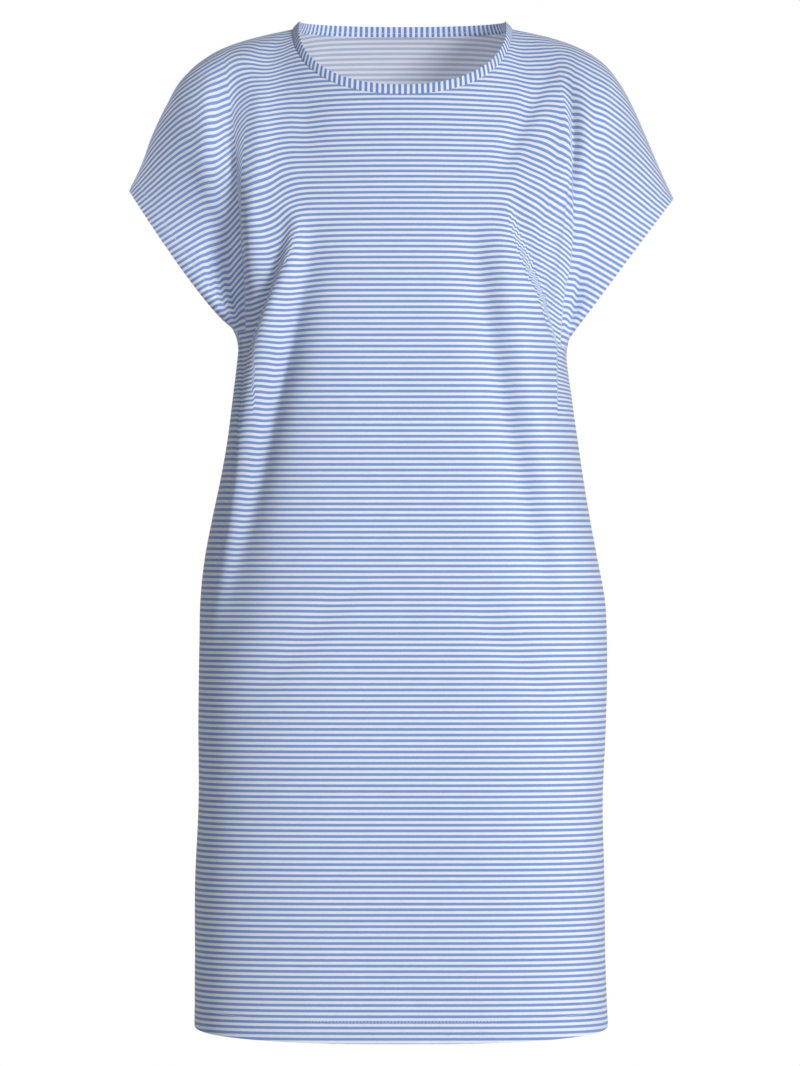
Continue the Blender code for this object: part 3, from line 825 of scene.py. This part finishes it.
def cloth(name, grid, outer, inner, laid, materials):
    """A closed sheet of cloth between two grids of points, with its places on the flat cloth as UV maps."""
    ringed = is_ring(grid)
    used = slice(0, -1) if ringed else slice(None)
    rows, columns = grid[:, used].shape[:2]
    count = rows * columns
    index = np.arange(count).reshape(rows, columns)
    if ringed:
        index = np.concatenate([index, index[:, :1]], axis=1)
    outside = quads(index).reshape(-1, 4)
    inside = outside[:, FLIPPED] + count
    edges = rim(index[0].tolist(), count) + rim(index[-1, ::-1].tolist(), count)
    if not ringed:
        edges += rim(index[::-1, 0].tolist(), count) + rim(index[:, -1].tolist(), count)
    faces = np.concatenate([outside, inside, np.array(edges)])
    points = np.concatenate([outer[:, used].reshape(-1, 3), inner[:, used].reshape(-1, 3)])
    mesh = bpy.data.meshes.new(name)
    mesh.from_pydata(points.tolist(), [], faces.tolist())
    for material in materials:
        mesh.materials.append(material)
    side = np.zeros(len(faces), dtype=np.int32)
    side[len(outside):len(outside) + len(inside)] = len(materials) - 1
    mesh.polygons.foreach_set("material_index", side)
    # The last column of a ring has its own place on the flat cloth, so each face reads its own corners
    wide = np.arange(grid.shape[0] * grid.shape[1]).reshape(grid.shape[:2])
    own = np.zeros(count, dtype=int)
    own[index.reshape(-1)[::-1]] = wide.reshape(-1)[::-1]
    spots = quads(wide).reshape(-1, 4)
    spots = [spots.ravel(), spots[:, FLIPPED].ravel(), own[np.array(edges).ravel() % count]]
    for map_name, pair in laid.items():
        flat = np.stack(pair, axis=-1).reshape(-1, 2)[np.concatenate(spots)]
        places = mesh.uv_layers.new(name=map_name)
        places.uv.foreach_set("vector", flat.astype(np.float32).ravel())
    mesh.shade_smooth()
    mesh.set_sharp_from_angle(angle=math.radians(SHARP_EDGE))
    return in_scene(name, mesh)


# Yarn-dyed stripes, about 5 mm from one to the next, half of it blue. The inner face is the wrong side of
# the knit and shows paler stripes. Its white is also greyed with painted shade.
STRIPE_PITCH = 0.0051
FIRST_STRIPE = 0.00446
BLUE_SHARE = 0.50
DYE_EDGE = 0.06
BLUE_YARN = (0.195, 0.305, 0.640)
WHITE_YARN = (0.765, 0.815, 0.890)
PALE_BLUE = (0.410, 0.468, 0.620)
# Painted shade: the inner white is darker and greyer than the outer white, standing in for the shade inside
# the garment
PALE_SHADED_WHITE = (0.695, 0.715, 0.765)
YARN_WANDER = 0.0005
UNEVENNESS = 0.10
WALE = 0.0008
COURSE = 0.0006
WALE_RELIEF = 0.5
COURSE_RELIEF = 0.35
RELIEF_DEPTH = 0.0001


def feed(node, inputs):
    """Give a shader node's inputs, by name or number, their values or links to other nodes' outputs."""
    for key, value in inputs.items():
        if isinstance(value, bpy.types.NodeSocket):
            node.id_data.links.new(value, node.inputs[key])
        else:
            node.inputs[key].default_value = value
    return node


def knit(name, pitch, first, share, dark, light, sleeved):
    """Fine striped jersey. Stripes and stitches follow the flat cloth, and on a sleeve its own run of it."""
    material = bpy.data.materials.new(name)
    material.use_nodes = True
    nodes = material.node_tree.nodes

    def result(operation, *inputs):
        node = feed(nodes.new("ShaderNodeMath"), dict(enumerate(inputs)))
        node.operation = operation
        return node.outputs[0]

    def laid_on(map_name):
        places = nodes.new("ShaderNodeUVMap")
        places.uv_map = map_name
        parts = feed(nodes.new("ShaderNodeSeparateXYZ"), {0: places.outputs["UV"]})
        return places.outputs["UV"], parts.outputs[0], parts.outputs[1]

    def noise(scale, detail):
        node = nodes.new("ShaderNodeTexNoise")
        return feed(node, {"Vector": places, "Scale": scale, "Detail": detail}).outputs["Fac"]

    places, across, height = laid_on("flat_cloth")
    striped = height
    if sleeved:
        _, sleeve, past = laid_on("sleeve_cloth")
        past = result("MULTIPLY_ADD", past, 0.5, 0.5)
        past.node.use_clamp = True
        striped = result("MULTIPLY_ADD", past, result("SUBTRACT", sleeve, height), height)
    # The yarn wanders a little, so no stripe edge is ruled
    wander = noise(scale=900.0, detail=2.0)
    offset = result("MULTIPLY_ADD", wander, YARN_WANDER, -YARN_WANDER / 2 - first)
    turns = result("FRACT", result("MULTIPLY_ADD", result("ADD", striped, offset), 1 / pitch, 0.5))
    edge = nodes.new("ShaderNodeMapRange")
    edge.interpolation_type = "SMOOTHSTEP"
    feed(edge, {
        "Value": result("ABSOLUTE", result("SUBTRACT", turns, 0.5)),
        "From Min": share / 2 - DYE_EDGE,
        "From Max": share / 2 + DYE_EDGE,
    })
    mix = nodes.new("ShaderNodeMix")
    mix.data_type = "RGBA"
    feed(mix, {"Factor": edge.outputs["Result"], 6: (*dark, 1.0), 7: (*light, 1.0)})
    # Wear and dye leave the yarn a shade uneven
    shade = noise(scale=60.0, detail=3.0)
    value = result("MULTIPLY_ADD", shade, UNEVENNESS, 1 - UNEVENNESS / 2)
    uneven = feed(nodes.new("ShaderNodeHueSaturation"), {"Color": mix.outputs[2], "Value": value})
    # Wales run up the cloth and courses across it
    wales = result("SINE", result("MULTIPLY", across, 2 * math.pi / WALE))
    courses = result("SINE", result("MULTIPLY", height, 2 * math.pi / COURSE))
    relief = result(
        "ADD", result("MULTIPLY", wales, WALE_RELIEF), result("MULTIPLY", courses, COURSE_RELIEF)
    )
    bump = nodes.new("ShaderNodeBump")
    feed(bump, {"Strength": 0.25, "Distance": RELIEF_DEPTH, "Height": relief})
    feed(nodes["Principled BSDF"], {
        "Base Color": uneven.outputs["Color"],
        "Normal": bump.outputs["Normal"],
        "Roughness": 0.85,
        "Specular IOR Level": 0.25,
        "Sheen Weight": 0.20,
        "Sheen Roughness": 0.5,
    })
    return material


# The inside copy of the jersey has the wrong side's paler stripes, and painted shade in its greyer white
striped_jersey, shaded_inside_jersey = (
    knit(name, STRIPE_PITCH, FIRST_STRIPE, BLUE_SHARE, blue, white, True)
    for name, blue, white in (
        ("striped_jersey", BLUE_YARN, WHITE_YARN),
        ("striped_jersey_shaded_inside", PALE_BLUE, PALE_SHADED_WHITE),
    )
)

# Turned-up hems, doubled inwards, and the seams, which sink between the pieces they join
CUFF_HEM = 0.013
BOTTOM_HEM = 0.020
HEM_DOUBLING = 0.0010
HEM_STEP = 0.002
STITCH_GROOVE = 0.0004
CUFF_GROOVE_WIDTH = 0.0016
BOTTOM_GROOVE_WIDTH = 0.0020
SEAM_GROOVE = 0.0007
SEAM_GROOVE_WIDTH = 0.0025


def hems_and_seams(grid):
    """How much thicker the cloth is at each point, and how deep it sinks along seams and stitch lines."""
    rows = run_along(grid, 1)
    near_side = np.minimum(rows, rows[:, -1:] - rows)
    from_hem = run_along(grid, 0)
    from_top = from_hem[-1:] - from_hem
    chest = (np.arange(len(grid)) > BODY_STEPS)[:, None]

    def turned(hem, distance):
        return ease((hem + HEM_STEP / 2 - distance) / HEM_STEP)

    def dip(distance, width):
        return np.exp(-((distance / width) ** 2))

    doubled = np.where(chest, turned(CUFF_HEM, near_side), 0.0)
    doubled = np.maximum(doubled, turned(BOTTOM_HEM, from_hem))
    stitched = np.where(chest, dip(near_side - CUFF_HEM, CUFF_GROOVE_WIDTH), 0.0)
    stitched = np.maximum(stitched, dip(from_hem - BOTTOM_HEM, BOTTOM_GROOVE_WIDTH))
    sewn_side = np.where(chest, 0.0, dip(near_side, SEAM_GROOVE_WIDTH))
    sewn = np.maximum(sewn_side, dip(from_top, SEAM_GROOVE_WIDTH))
    groove = np.maximum(stitched * STITCH_GROOVE, sewn * SEAM_GROOVE)
    return doubled * HEM_DOUBLING, groove


front_grid = panel("front")
back_grid = panel("back")
centre = front_grid[:BODY_STEPS + 1, len(PLACES) // 2]

# The neckband is laid out here too, because the three pieces share their seams
BAND_HEIGHT = 0.0094
BAND_STEPS = 8


def band_rows(front, back):
    """The neckband, round from the left neck point: front neck edge first, then the back."""
    neck = slice(SLEEVE_STEPS, SLEEVE_STEPS + NECK_STEPS)
    stands = []
    for face, panel_grid, middle in (("front", front, BAND_AT_FRONT), ("back", back, BAND_AT_NAPE)):
        edge = panel_grid[-1, neck]
        share = neck_share(face, edge)[:, None]
        sideways = aim(BAND_AT_NECK_POINT, face, edge[:, 0])
        stands.append(share * aim(middle, face, edge[:, 0]) + (1 - share) * sideways)
    edge = np.concatenate([front[-1, neck], back[-1, neck]])
    stand = unit(np.concatenate(stands)) * BAND_HEIGHT
    grid = np.stack([edge + stand * share for share in np.linspace(0, 1, BAND_STEPS + 1)])
    return np.concatenate([grid, grid[:, :1]], axis=1)


band_grid = band_rows(front_grid, back_grid)
front_normals, back_normals, band_normals = shared_normals([front_grid, back_grid, band_grid])


def dressed(name, face, grid, normals):
    """A panel in striped cloth, and its outer face, where its stitches lie."""
    doubled, groove = hems_and_seams(grid)
    outer = grid + normals * (JERSEY_THICKNESS / 2 - groove)[..., None]
    inner = grid - normals * (JERSEY_THICKNESS / 2 + groove + doubled)[..., None]
    across, body, sleeve, past = stripe_heights(face, grid, centre)
    laid = {"flat_cloth": (across, body), "sleeve_cloth": (sleeve, past)}
    return cloth(name, grid, outer, inner, laid, (striped_jersey, shaded_inside_jersey)), outer


front, front_outer = dressed("front_panel", "front", front_grid, front_normals)
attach(front, "root")
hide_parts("front")

# Stitches of the front. Short stitches in white thread hold the turned hems, 13 mm in from each sleeve
# opening and 20 mm above the bottom edge. Each is a short bar with its two ends sunk into the cloth.
STITCH_LENGTH = 0.0022
STITCH_STEP = 0.0031
THREAD_RADIUS = 0.00022
THREAD_CORNERS = 6
Station = namedtuple("Station", "along radius lift")
STITCH = (
    Station(-0.50, 0.5, -0.9),
    Station(-0.30, 1.0, 0.2),
    Station(0.00, 1.0, 0.5),
    Station(0.30, 1.0, 0.2),
    Station(0.50, 0.5, -0.9),
)
# Rows and columns at the ends of the stitch lines that stay clear of the seams
CLEAR_BELOW = 3
CLEAR_ABOVE = 1
CLEAR_ASIDE = 2

thread = bpy.data.materials.new("white_thread")
thread.use_nodes = True
thread_nodes = thread.node_tree.nodes
thread_places = thread_nodes.new("ShaderNodeTexCoord").outputs["Object"]
thread_shade = feed(thread_nodes.new("ShaderNodeTexNoise"), {"Vector": thread_places, "Scale": 1200.0})
thread_ramp = feed(thread_nodes.new("ShaderNodeValToRGB"), {"Fac": thread_shade.outputs["Fac"]})
thread_ramp.color_ramp.elements[0].color = (0.60, 0.65, 0.76, 1.0)
thread_ramp.color_ramp.elements[1].color = (0.82, 0.85, 0.91, 1.0)
feed(thread_nodes["Principled BSDF"], {
    "Base Color": thread_ramp.outputs["Color"],
    "Roughness": 0.6,
    "Sheen Weight": 0.2,
})


def stitch_rings(points, ups):
    """Rings of points round each stitch of a row that follows a line on the cloth."""
    run = run_along(points, 0)
    count = int(run[-1] / STITCH_STEP)
    middles = (np.arange(count) + 0.5) * run[-1] / count
    here = along_line(middles, run, points)
    ahead = along_line(middles + STITCH_LENGTH / 2, run, points)
    behind = along_line(middles - STITCH_LENGTH / 2, run, points)
    way = unit(ahead - behind)
    side = unit(np.cross(way, along_line(middles, run, ups)))
    up = np.cross(side, way)
    rings = []
    for station in STITCH:
        middle = here + way * station.along * STITCH_LENGTH + up * station.lift * THREAD_RADIUS
        for turn in np.linspace(0, 2 * math.pi, THREAD_CORNERS, endpoint=False):
            spoke = side * math.cos(turn) + up * math.sin(turn)
            rings.append(middle + spoke * station.radius * THREAD_RADIUS)
    return np.stack(rings, axis=1)


def stitches(name, lines):
    """All the stitches along several lines, each line given as points on the cloth and its outward ways."""
    points = np.concatenate([stitch_rings(*line) for line in lines])
    index = np.arange(points.shape[1]).reshape(len(STITCH), THREAD_CORNERS)
    walls = quads(np.concatenate([index, index[:, :1]], axis=1)).reshape(-1, 4).tolist()
    faces = walls + [index[0, ::-1].tolist(), index[-1].tolist()]
    starts = range(0, len(points) * index.size, index.size)
    mesh = bpy.data.meshes.new(name)
    mesh.from_pydata(
        points.reshape(-1, 3).tolist(),
        [],
        [[start + corner for corner in face] for start in starts for face in faces],
    )
    mesh.materials.append(thread)
    mesh.shade_smooth()
    return in_scene(name, mesh)


def across_rows(grid, distance):
    """Points at one distance along each row of a grid, and from the row's end if that is negative."""
    runs = run_along(grid, 1)
    return np.array([
        along_line(distance if distance > 0 else run[-1] + distance, run, row)
        for run, row in zip(runs, grid)
    ])


def stitch_line(grid, surface, normals, distance):
    """A line across the rows of a cloth's surface, with its outward ways."""
    ways = across_rows(grid + normals, distance) - across_rows(grid, distance)
    return across_rows(surface, distance), unit(ways)


def hem_lines(*layers):
    """The stitched lines of both sleeve openings and of the hem, for a grid, its surface and its normals."""
    chest = [layer[BODY_STEPS + CLEAR_BELOW:-CLEAR_ABOVE] for layer in layers]
    columns = [layer[:, CLEAR_ASIDE:-CLEAR_ASIDE].swapaxes(0, 1) for layer in layers]
    return [
        stitch_line(*chest, CUFF_HEM),
        stitch_line(*chest, -CUFF_HEM),
        stitch_line(*columns, BOTTOM_HEM),
    ]


front_stitches = stitches("front_stitches", hem_lines(front_grid, front_outer, front_normals))
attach(front_stitches, "root")
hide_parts("front")

# Back. The same cut as the front with a higher, shallower neck, sewn to it along the sides, the shoulders
# and the sleeves. Its hems are turned and stitched like the front's.
back, back_outer = dressed("back_panel", "back", back_grid, back_normals)
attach(back, "root")
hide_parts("back")

back_stitches = stitches("back_stitches", hem_lines(back_grid, back_outer, back_normals))
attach(back_stitches, "root")
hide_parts("back")

# Neckband. A strip of the same jersey with its stripes running across it, folded double over the neck edge
# and sewn down. It is thicker in the middle than at its two edges.
BAND_THICKNESS = 0.0020
BAND_ROUNDING = 0.53
BAND_FULLNESS = 0.6
BAND_PITCH = 0.0052
BAND_BLUE_SHARE = 0.52
BAND_BLUE = (0.150, 0.250, 0.600)
rise = np.linspace(0, 1, BAND_STEPS + 1)[:, None]
fullness = np.sqrt(np.clip(1 - ((rise - 0.5) / BAND_ROUNDING) ** 2, 0, 1)) ** BAND_FULLNESS
half = (BAND_THICKNESS / 2 * fullness)[..., None]
around = run_along(band_grid[:1], 1)
stripes = round(around[0, -1] / BAND_PITCH)
around = around * (stripes * BAND_PITCH / around[0, -1])
laid = {"flat_cloth": np.broadcast_arrays(rise * BAND_HEIGHT, around)}
neckband_jersey = knit("neckband_jersey", BAND_PITCH, 0.0, BAND_BLUE_SHARE, BAND_BLUE, WHITE_YARN, False)
outer = band_grid + band_normals * half
inner = band_grid - band_normals * half
band = cloth("neckband_strip", band_grid, outer, inner, laid, (neckband_jersey,))
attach(band, "root")
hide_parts("neckband")

# Stitches of the neckband. The one row that holds the band down shows only on its inner side, a little
# above the neck edge.
STITCH_ROW = 3
band_stitches = stitches("neckband_stitches", [(inner[STITCH_ROW], -band_normals[STITCH_ROW])])
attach(band_stitches, "root")
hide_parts("neckband")

# Floor and background. The garment hangs in front of plain white, above a pale round floor that lies
# below the picture. The white lights the cloth far less than it shows.
FLOOR_HEIGHT = -1.40
FLOOR_RADIUS = 2.4
FLOOR_CORNERS = 96
bpy.ops.mesh.primitive_circle_add(
    vertices=FLOOR_CORNERS, radius=FLOOR_RADIUS, fill_type="NGON", location=(0, 0, FLOOR_HEIGHT)
)
floor = bpy.context.object
floor.name = "floor"
pale = bpy.data.materials.new("pale_floor")
pale.use_nodes = True
feed(pale.node_tree.nodes["Principled BSDF"], {"Base Color": (0.86, 0.86, 0.86, 1.0), "Roughness": 0.8})
floor.data.materials.append(pale)

WHITE = (1.0, 1.0, 1.0, 1.0)
LIT_STRENGTH = 0.27
SEEN_STRENGTH = 1.0
world = bpy.data.worlds.new("studio")
bpy.context.scene.world = world
world.use_nodes = True
world_nodes = world.node_tree.nodes
lit = feed(world_nodes["Background"], {"Color": WHITE, "Strength": LIT_STRENGTH})
seen = feed(world_nodes.new("ShaderNodeBackground"), {"Color": WHITE, "Strength": SEEN_STRENGTH})
path = world_nodes.new("ShaderNodeLightPath")
blend = world_nodes.new("ShaderNodeMixShader")
feed(blend, {0: path.outputs["Is Camera Ray"], 1: lit.outputs[0], 2: seen.outputs[0]})
feed(world_nodes["World Output"], {"Surface": blend.outputs[0]})

# Lights. A large lamp at the front, on the right of the picture, does most. A weaker one fills in from the
# middle, small narrow ones reach the right flank and the left sleeve, and one lights the back.
Lamp = namedtuple("Lamp", "name place aimed_at size power spread")
LAMPS = (
    Lamp("key", (1.75, -2.60, 0.50), (0.0, 0.0, -0.40), 0.9, 68.0, 180),
    Lamp("fill", (0.2, -3.2, 0.75), (0.0, 0.0, -0.45), 1.0, 10.0, 180),
    Lamp("side", (2.30, -0.45, -0.75), (0.15, 0.0, -0.68), 0.50, 0.07, 20),
    Lamp("shoulder", (-1.35, -1.55, 1.05), (-0.255, -0.03, -0.11), 0.12, 0.034, 8),
    Lamp("back", (0.0, 3.2, 0.3), (0.0, 0.0, -0.45), 1.6, 40.0, 180),
)
for lamp in LAMPS:
    light = bpy.data.lights.new(lamp.name, "AREA")
    light.shape = "DISK"
    light.size = lamp.size
    light.energy = lamp.power
    light.spread = math.radians(lamp.spread)
    way = np.array(lamp.aimed_at) - np.array(lamp.place)
    holder = in_scene(lamp.name, light)
    holder.location = lamp.place
    holder.rotation_euler = (
        math.acos(-way[2] / np.linalg.norm(way)),
        0.0,
        math.atan2(way[1], way[0]) - math.pi / 2,
    )

# A faint light inside the chest brightens the inner face of the back at the neck
glow = bpy.data.lights.new("inside", "POINT")
glow.energy = 0.25
glow.shadow_soft_size = 0.05
in_scene("inside", glow).location = (0.085, 0.0, -0.15)

# Camera. It stands straight in front, level with the middle of the garment, and far enough away for the
# stripes to look straight.
CAMERA_DISTANCE = 8.3
CAMERA_HEIGHT = -0.460
CAMERA_ASIDE = -0.0023
PICTURE_HEIGHT = 0.981
eye = bpy.data.cameras.new("camera")
eye.sensor_fit = "VERTICAL"
eye.angle_y = 2 * math.atan(PICTURE_HEIGHT / 2 / CAMERA_DISTANCE)
camera = in_scene("camera", eye)
camera.location = (CAMERA_ASIDE, -CAMERA_DISTANCE, CAMERA_HEIGHT)
camera.rotation_euler = (math.pi / 2, 0.0, 0.0)
bpy.context.scene.camera = camera
bpy.context.scene.view_settings.view_transform = "Standard"
